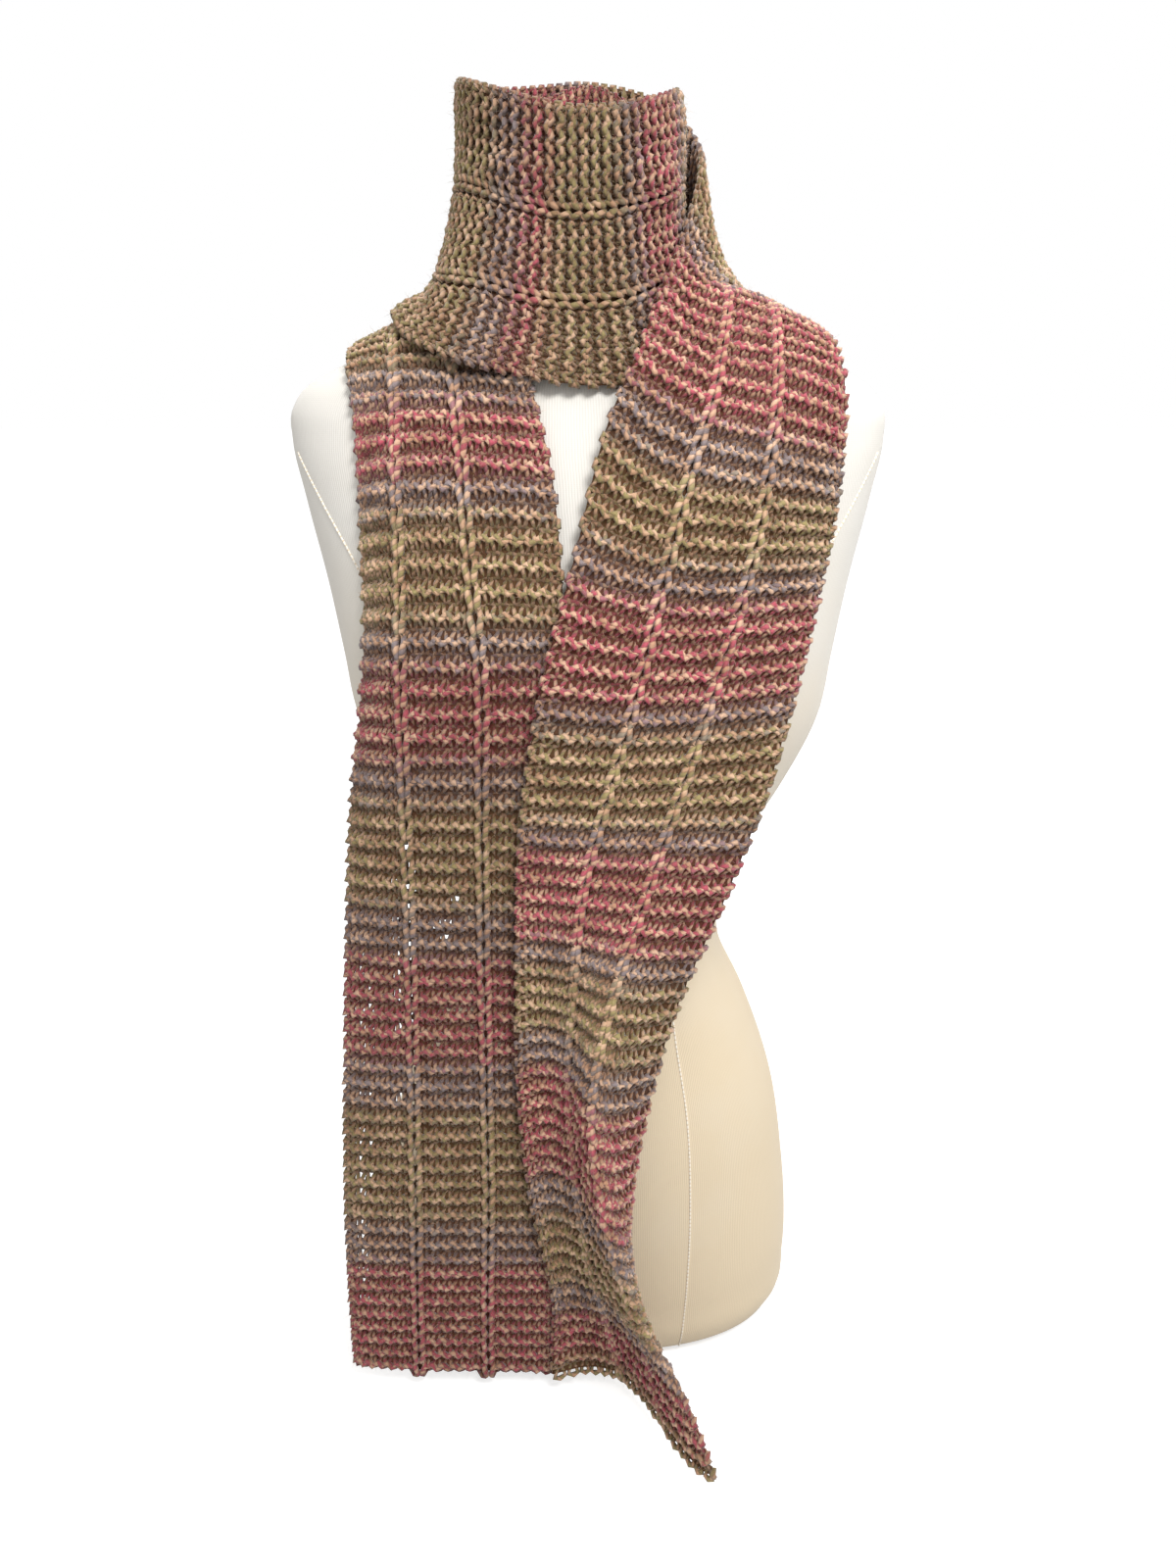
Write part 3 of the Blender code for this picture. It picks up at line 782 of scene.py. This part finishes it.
class FormLook(bpy.types.PropertyGroup):
    """The dress form's cover."""

    jersey: colour_property("Jersey", "The cover's colour", (0.75, 0.725, 0.675))
    # The cover turns to this colour toward the hips as painted shade, in random patches, and
    # between seam stitches.
    jersey_warm: colour_property("Warm jersey", "The cover where it is warmer", (0.72, 0.60, 0.43))
    # Painted shade colour for the valleys between the jersey ribs.
    jersey_painted_shade: colour_property("Jersey shade", "The colour between ribs", (0.42, 0.36, 0.26))
    seam_thread: colour_property("Seam", "The colour of the cover's seams", (0.90, 0.84, 0.74))
    rib_count: IntProperty(
        name="Ribs", description="Jersey ribs round the form", default=560, min=10, max=2000)


def palette(look):
    """The dyed ply's colours by name, with alpha."""
    return {name: (*getattr(look, name), 1.0) for name in ("pink", "grey", "olive")}


def cloth_surface(first, last, shape):
    """A stretch's backing cloth on a grid, two lines to a row and one to each stitch's side and
    each rib's middle: the middle surface moved outward by h sin(pi r), where r counts rows, so
    that it folds with the ridges. It lies low and flat behind a rib."""
    places, lengths = row_places()
    numbers = np.arange(2 * first - 1, 2 * last) / 2
    along = np.interp(numbers, np.arange(len(places)), places)
    along = along + np.minimum(numbers, 0) * lengths[0]
    starts, widths, ribs = chart_columns()
    lines = np.unique(np.concatenate([starts, (starts + widths / 2)[ribs], starts + widths]))
    middles = (starts + widths / 2)[ribs]
    from_rib = np.abs(lines[:, None] - middles[None, :]).min(axis=1) / RIB_STITCH
    open_panel = smooth_step(0.0, 1.0, from_rib)
    open_panel[[0, -1]] = EDGE_CALM / 2
    s, u = np.meshgrid(along, lines / strip_width(), indexing="ij")
    fold = np.sin(np.pi * numbers)[:, None] * open_panel[None, :] * shape.fold_height / MM
    fold = fold + (from_rib < 0.4)[None, :] * RIB_BACK
    points, outward = strip_surface(s.ravel(), u.ravel())
    return (points + outward * fold.reshape(-1, 1)) * MM, s, u


def holes_in(along, across, random):
    """Which cells of the backing cloth are open where the knitting is loose."""
    open_cell = np.zeros(along.shape, bool)
    for start, end, left, right, share in LOOSE_PATCHES:
        inside = (along > start) & (along < end) & (across > left) & (across < right)
        open_cell |= inside & (random.random_sample(along.shape) < share)
    return open_cell


def fuzz(along, share, height, row, look, shape, random):
    """Stray fibres: closed three-sided needles that start in the yarn and lean outward at
    random. Returns points, faces and colours."""
    count = int(len(along) * shape.fuzz)
    pick = random.choice(len(along), count, replace=False)
    middle, outward = strip_surface(along[pick], share[pick])
    middle = middle + outward * height[pick][:, None]
    way = random.normal(0, 1, (count, 3)) + outward * FIBRE_LEAN
    way /= np.linalg.norm(way, axis=1, keepdims=True)
    side = np.cross(way, random.normal(0, 1, (count, 3)))
    side /= np.linalg.norm(side, axis=1, keepdims=True)
    third = np.cross(way, side)
    length = random.uniform(*FIBRE_LENGTHS, (count, 1))
    tip = middle + way * length
    thin = shape.fibre_radius / MM
    ring = [middle + thin * (side * math.cos(a) + third * math.sin(a))
            for a in (0, 2 * math.pi / 3, 4 * math.pi / 3)]
    points = np.stack([*ring, tip], axis=1).reshape(-1, 3)
    base = np.arange(count)[:, None] * 4
    needle = ((0, 2, 1), (0, 1, 3), (1, 2, 3), (2, 0, 3))
    faces = np.stack([base + np.array(face) for face in needle], axis=1).reshape(-1, 3)
    colours = np.repeat(band_colours(row[pick], palette(look)), 4, axis=0)
    colours[:, 3] = 1.0
    return points * MM, faces, colours


class SCARF_OT_knit(bpy.types.Operator):
    """Knit every stretch of the scarf: its backing cloth, its yarn and its stray fibres"""

    bl_idname = "scarf.knit"
    bl_label = "Knit the scarf"

    def execute(self, context):
        shape, look = context.scene.scarf_shape, context.scene.yarn_look
        yarn_look, backing = yarn_material(look), backing_material(look)
        fibre_look = fibre_material(look)
        random = np.random.RandomState(shape.seed)
        half = (shape.loop_height + shape.yarn_radius) / MM
        for name in STRETCHES:
            first, last = stretch_rows(name)
            points, s, u = cloth_surface(first, last, shape)
            solid = ~holes_in(s[:-1, :-1], u[:-1, :-1], random).ravel()
            quads = grid_quads(*s.shape, closed=False)[2][solid]
            cloth = mesh_piece(name + "_cloth", points, quads,
                               colours=band_colours(s.ravel(), palette(look)))
            wall = cloth.modifiers.new("wall", "SOLIDIFY")
            wall.thickness, wall.offset = BACKING_THICKNESS, 0.0
            cloth.data.materials.append(backing)
            along, share, height, thick, row = yarn_route(first, last, shape, random)
            middle, outward = strip_surface(along, share)
            path = middle + outward * height[:, None]
            thick = thick * (1 + THICKNESS_SPREAD * random.normal(0, 1, len(path)))
            points, quads, ends, uv, facing = tube(path, outward, thick, shape.sides)
            colours = np.repeat(band_colours(row, palette(look)), shape.sides, axis=0)
            tall = np.repeat(height, shape.sides) + facing * np.repeat(thick, shape.sides)
            # Lighter and darker lengths of the strip: partly dye and partly painted shade.
            tone = np.interp(np.repeat(row, shape.sides), *np.array(YARN_DYE_AND_PAINTED_SHADE).T)
            # Painted shade in the alpha: how open each point is to the light, times the tone along
            # the strip.
            colours[:, 3] = lit_share(tall, facing, half) * tone
            yarn = mesh_piece(name + "_yarn", points * MM, quads, ends, uv, colours)
            yarn.data.materials.append(yarn_look)
            points, faces, colours = fuzz(along, share, height, row, look, shape, random)
            fibres = mesh_piece(name + "_fuzz", points, faces, colours=colours)
            fibres.data.materials.append(fibre_look)
            for piece in (cloth, yarn, fibres):
                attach(piece, "root")
                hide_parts(name)
        return {"FINISHED"}


def form_grid(heights, turn):
    """The form's skin at heights and angles: the superellipse whose x is a |cos t|^(2/n) and
    y is b |sin t|^(2/n), with the signs of cos and sin."""
    sizes = form_sizes(heights.ravel())
    half, front, back, middle_x, middle_y = [size.reshape(heights.shape) for size in sizes]
    power = 2 / FORM_SQUARENESS
    cosine, sine = np.cos(turn), np.sin(turn)
    x = half * np.sign(cosine) * np.abs(cosine) ** power
    reach = np.where(sine < 0, front, back)
    y = reach * np.sign(sine) * np.abs(sine) ** power
    return np.stack([x + middle_x, y + middle_y, heights], axis=-1)


def form_seams():
    """The cover's seams as joined thin tubes: a princess seam on each side of the front and of
    the back, and one round the foot of the neck."""
    table = np.array(SEAM_POINTS, float)
    heights = SEAM_HEIGHTS
    offset = hermite(table[:, 0], table[:, 1][:, None], heights)[:, 0]
    half, front, back, middle_x, middle_y = form_sizes(heights)
    lines = []
    for sign in (1, -1):
        for depth, facing in ((front, -1), (back, 1)):
            share = np.clip(offset / half, 0, 0.995) ** FORM_SQUARENESS
            y = facing * depth * (1 - share) ** (1 / FORM_SQUARENESS)
            lines.append(np.stack([sign * offset + middle_x, y + middle_y, heights], axis=1))
    turn = np.linspace(0, 2 * np.pi, NECK_SEAM_POINTS)[:, None]
    lines.append(form_grid(np.full(turn.shape, NECK_ROOT - NECK_SEAM_DROP), turn)[:, 0])
    made, start = [[], [], [], []], 0
    for line in lines:
        near = form_middle(line[:, 2])
        outward = line - near
        outward[:, 2] = 0
        outward /= np.linalg.norm(outward, axis=1, keepdims=True)
        radius = np.full(len(line), SEAM_RADIUS)
        points, quads, ends, uv, _ = tube(line, outward, radius, SEAM_SIDES)
        made[0].append(points)
        made[1].append(quads + start)
        made[2] += [tuple(np.array(end) + start) for end in ends]
        made[3].append(uv)
        start += len(points)
    return np.concatenate(made[0]), np.concatenate(made[1]), made[2], np.concatenate(made[3])


def form_middle(height):
    """The form's middle line at each height."""
    _, _, _, middle_x, middle_y = form_sizes(height)
    return np.stack([middle_x + 0 * height, middle_y + 0 * height, height], axis=1)


class SCARF_OT_form(bpy.types.Operator):
    """Cover the dress form in jersey, with its princess seams and neck seam"""

    bl_idname = "scarf.form"
    bl_label = "Cover the dress form"

    def execute(self, context):
        cover = jersey_material(context.scene.form_look)
        sides, heights = COVER_SIDES, COVER_HEIGHTS
        even = np.linspace(0, 2 * np.pi, sides, endpoint=False) + 0.001
        h, t = np.meshgrid(heights, even, indexing="ij")
        points = form_grid(h, t) * MM
        r, k, quads = grid_quads(len(heights), sides, closed=True)
        gap = np.linalg.norm(np.roll(points, -1, axis=1) - points, axis=2)
        length = np.concatenate([np.zeros((len(heights), 1)), np.cumsum(gap, axis=1)], axis=1)
        share = length / length[:, -1:]
        corner = [(r, k), (r, k + 1), (r + 1, k + 1), (r + 1, k)]
        uv = np.stack([np.stack([share[a, b] for a, b in corner], axis=-1),
                       np.stack([heights[a] * MM for a, _ in corner], axis=-1)], axis=-1)
        last = (len(heights) - 1) * sides
        ends = [tuple(range(sides))[::-1], tuple(range(last, last + sides))]
        skin = mesh_piece("dress_form_cover", points.reshape(-1, 3), quads, ends,
                          uv.reshape(-1, 2))
        skin.data.materials.append(cover)
        points, quads, ends, uv = form_seams()
        seams = mesh_piece("form_seams", points * MM, quads, ends, uv)
        seams.data.materials.append(thread_material(context.scene.form_look))
        for piece in (skin, seams):
            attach(piece, "root")
            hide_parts("dress_form")
        return {"FINISHED"}


class SCARF_OT_stage(bpy.types.Operator):
    """Set the pale floor, the soft light and the camera"""

    bl_idname = "scarf.stage"
    bl_label = "Set the stage"

    def execute(self, context):
        scene = context.scene
        corners = np.array([[-1, -1, 0], [1, -1, 0], [1, 1, 0], [-1, 1, 0]]) * FLOOR_HALF
        corners = corners - [0, 0, FLOOR_DROP]
        floor = mesh_piece("floor", corners, np.array([[0, 1, 2, 3]]), smooth=False)
        floor.data.materials.append(stage_material())
        world = bpy.data.worlds.new("white_room")
        scene.world = world
        world.use_nodes = True
        tree = world.node_tree
        back = tree.nodes["Background"]
        back.inputs["Color"].default_value = (1.0, 1.0, 1.0, 1.0)
        split = tree.nodes.new("ShaderNodeSeparateXYZ")
        tree.links.new(tree.nodes.new("ShaderNodeNewGeometry").outputs["Incoming"], split.inputs[0])
        rise = tree.nodes.new("ShaderNodeMapRange")
        tree.links.new(split.outputs[2], rise.inputs["Value"])
        for key, value in ROOM_LIGHT:
            rise.inputs[key].default_value = value
        seen = tree.nodes.new("ShaderNodeLightPath").outputs["Is Camera Ray"]
        strength = tree.nodes.new("ShaderNodeMix")
        tree.links.new(seen, strength.inputs[0])
        tree.links.new(rise.outputs[0], strength.inputs[2])
        strength.inputs[3].default_value = 1.0
        tree.links.new(strength.outputs[0], back.inputs["Strength"])
        for name, place, aim, power, wide in LAMPS:
            lamp = bpy.data.lights.new(name, "AREA")
            lamp.energy, lamp.size, lamp.shape = power, wide, "SQUARE"
            made = bpy.data.objects.new(name, lamp)
            scene.collection.objects.link(made)
            made.location = place
            way = np.array(aim) - np.array(place)
            made.rotation_mode = "QUATERNION"
            made.rotation_quaternion = Vector(way).to_track_quat("-Z", "Y")
        lens = bpy.data.cameras.new("camera")
        lens.lens, lens.sensor_width = CAMERA_LENS, CAMERA_SENSOR
        camera = bpy.data.objects.new("camera", lens)
        scene.collection.objects.link(camera)
        camera.location = CAMERA_PLACE
        camera.rotation_euler = (math.radians(90 - CAMERA_DOWN), 0, 0)
        scene.camera = camera
        scene.view_settings.view_transform = "Standard"
        return {"FINISHED"}


class SCARF_PT_panel(bpy.types.Panel):
    """The steps and sizes, in the sidebar"""

    bl_idname = "SCARF_PT_panel"
    bl_label = "Knitted scarf"
    bl_space_type = "VIEW_3D"
    bl_region_type = "UI"
    bl_category = "Scarf"

    def draw(self, context):
        for group in ("scarf_shape", "yarn_look", "form_look"):
            settings = getattr(context.scene, group)
            for key in settings.__annotations__:
                self.layout.prop(settings, key)
        for step in OPERATORS:
            self.layout.operator(step.bl_idname)


OPERATORS = (SCARF_OT_form, SCARF_OT_knit, SCARF_OT_stage)
CLASSES = (ScarfShape, YarnLook, FormLook, *OPERATORS, SCARF_PT_panel)


def register():
    """Register the classes and hang the settings on the scene."""
    for item in CLASSES:
        bpy.utils.register_class(item)
    bpy.types.Scene.scarf_shape = PointerProperty(type=ScarfShape)
    bpy.types.Scene.yarn_look = PointerProperty(type=YarnLook)
    bpy.types.Scene.form_look = PointerProperty(type=FormLook)


def unregister():
    """Take the settings and the classes away again."""
    del bpy.types.Scene.scarf_shape
    del bpy.types.Scene.yarn_look
    del bpy.types.Scene.form_look
    for item in reversed(CLASSES):
        bpy.utils.unregister_class(item)


def main():
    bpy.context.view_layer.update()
    register()
    bpy.ops.scarf.form()
    bpy.ops.scarf.knit()
    bpy.ops.scarf.stage()


if __name__ == "__main__":
    main()
